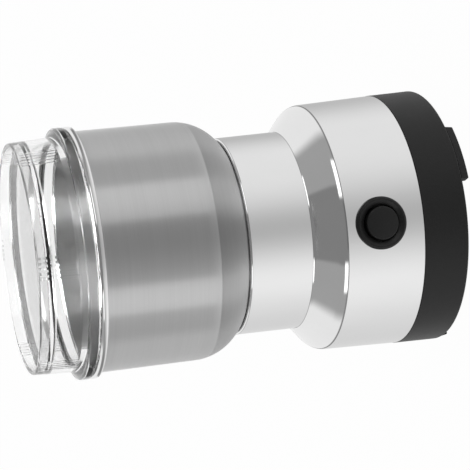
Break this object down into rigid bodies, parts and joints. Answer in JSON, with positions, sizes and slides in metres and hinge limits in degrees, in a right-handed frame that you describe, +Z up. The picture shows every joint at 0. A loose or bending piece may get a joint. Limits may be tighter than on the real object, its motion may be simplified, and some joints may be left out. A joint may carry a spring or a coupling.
{
  "type": "electric spice grinder",
  "caption": "Upright electric blade grinder: steel bowl with a clear lift-off lid on a polished motor housing with a push button, black base and feet.",
  "frame": {"origin": "on the axis of the bowl and motor, on the surface that the feet stand on", "axes": "+Z up along the bowl's axis, the button faces -Y, the cord enters at +Y, +X is to the right of someone facing the button"},
  "size_m": [0.0962, 0.0973, 0.1592],
  "materials": {
    "foot_rubber": "matte",
    "base_plastic": "satin",
    "button_plastic": "satin",
    "screw_steel": "satin",
    "seal_rubber": "matte",
    "polished_steel": "polished",
    "bowl_steel": "satin",
    "clear_plastic": "gloss",
    "blade_steel": "satin",
    "shaft_steel": "polished",
    "core_steel": "satin",
    "copper": "satin",
    "fan_plastic": "satin",
    "bronze": "satin",
    "bracket_alloy": "satin",
    "contact_brass": "satin",
    "carbon": "matte",
    "spring_steel": "satin",
    "switch_plastic": "satin",
    "plunger_plastic": "gloss",
    "block_plastic": "satin",
    "capacitor_plastic": "gloss",
    "wire_sleeve": "satin"
  },
  "bodies": {
    "housing": {"feet": "foot_rubber", "base_cover": "base_plastic", "button_bezel": "button_plastic", "base_screws": "screw_steel", "bowl_screws": "screw_steel", "motor_bolts": "screw_steel", "cord_bush": "seal_rubber", "bowl_gasket": "seal_rubber", "shaft_seal": "seal_rubber", "rubber_mounts": "seal_rubber", "housing_shell": "polished_steel", "bowl": "bowl_steel", "stator_core": "core_steel", "field_coils": "copper", "upper_bearing": "bronze", "lower_bearing": "bronze", "motor_top_bracket": "bracket_alloy", "motor_bottom_bracket": "bracket_alloy", "brush_holders": "contact_brass", "switch_terminals": "contact_brass", "carbon_brushes": "carbon", "button_spring": "spring_steel", "brush_springs": "spring_steel", "switch_body": "switch_plastic", "terminal_block": "block_plastic", "thermal_cutout": "block_plastic", "suppression_capacitor": "capacitor_plastic", "lead_wires": "wire_sleeve"},
    "lid": {"lid": "clear_plastic"},
    "rotor": {"motor_shaft": "shaft_steel", "armature_core": "core_steel", "armature_windings": "copper", "commutator": "copper", "cooling_fan": "fan_plastic", "shaft_clip": "shaft_steel", "thrust_washers": "bronze", "blade": "blade_steel", "blade_spacer": "blade_steel", "blade_nut": "blade_steel"},
    "button": {"button_cap": "button_plastic"},
    "plunger": {"switch_plunger": "plunger_plastic"}
  },
  "joints": [
    {"name": "lid_lift", "type": "slide", "parent": "housing", "child": "lid", "axis": [0, 0, 1], "range_m": [0, 0.045]},
    {"name": "rotor_spin", "type": "hinge", "parent": "housing", "child": "rotor", "pos_m": [0, 0, 0.049], "axis": [0, 0, 1], "continuous": true},
    {"name": "button_press", "type": "slide", "parent": "housing", "child": "button", "axis": [0, 1, 0], "range_m": [0, 0.002], "stiffness_N_per_m": 800, "springref_m": -0.002, "deforming": ["button_spring"]},
    {"name": "plunger_press", "type": "slide", "parent": "housing", "child": "plunger", "axis": [0, 1, 0], "range_m": [0, 0.002]}
  ],
  "couplings": [
    {"joint": "plunger_press", "follows": "button_press", "ratio": 1}
  ]
}
